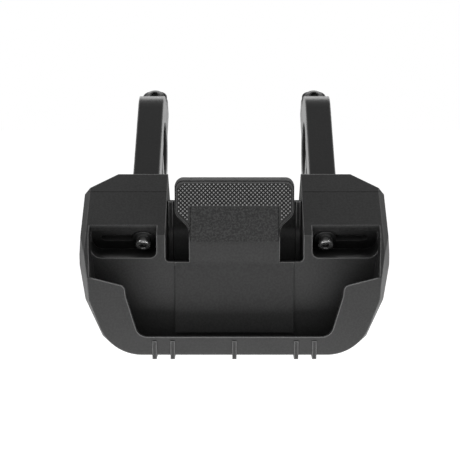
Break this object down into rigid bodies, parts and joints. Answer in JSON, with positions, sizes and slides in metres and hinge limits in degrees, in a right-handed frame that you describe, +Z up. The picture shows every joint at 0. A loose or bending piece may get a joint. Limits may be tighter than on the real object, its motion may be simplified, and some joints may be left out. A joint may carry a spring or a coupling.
{
  "type": "handlebar bag mount",
  "caption": "Split handlebar clamps on sloping arms, set for width in slotted sleeves of a moulded receiver whose pocket and sprung latch tongue hold the plate of a bag.",
  "frame": {"origin": "on the handlebar axis, midway between the clamps", "axes": "+X along the handlebar to the right of the picture, +Y back towards the rider, +Z up"},
  "size_m": [0.1764, 0.1576, 0.1392],
  "materials": {
    "black_plastic": "glass-filled nylon with a fine moulded grain",
    "black_steel": "black oxide, lightly oiled",
    "zinc_steel": "zinc plated",
    "liner_rubber": "smooth moulded"
  },
  "bodies": {
    "receiver": {"receiver_body": "black_plastic"},
    "latch": {"latch_tongue": "black_plastic"},
    "clamp_left": {"clamp_arm_left": "black_plastic", "clamp_jaw_left": "black_plastic", "hinge_pin_left": "zinc_steel", "clamp_bolt_left": "black_steel", "clamp_nut_left": "zinc_steel", "upper_liner_left": "liner_rubber", "lower_liner_left": "liner_rubber", "slot_screw_left": "black_steel", "slot_washer_left": "black_steel", "slot_nut_left": "zinc_steel"},
    "clamp_right": {"clamp_arm_right": "black_plastic", "clamp_jaw_right": "black_plastic", "hinge_pin_right": "zinc_steel", "clamp_bolt_right": "black_steel", "clamp_nut_right": "zinc_steel", "upper_liner_right": "liner_rubber", "lower_liner_right": "liner_rubber", "slot_screw_right": "black_steel", "slot_washer_right": "black_steel", "slot_nut_right": "zinc_steel"}
  },
  "joints": [
    {"name": "latch_press", "type": "hinge", "parent": "receiver", "child": "latch", "pos_m": [0, -0.08736, -0.05309], "axis": [-1, 0, 0], "range_deg": [0, 12], "stiffness_Nm_per_rad": 2},
    {"name": "clamp_slide_left", "type": "slide", "parent": "receiver", "child": "clamp_left", "axis": [-1, 0, 0], "range_m": [0, 0.021]},
    {"name": "clamp_slide_right", "type": "slide", "parent": "receiver", "child": "clamp_right", "axis": [1, 0, 0], "range_m": [0, 0.021]}
  ]
}
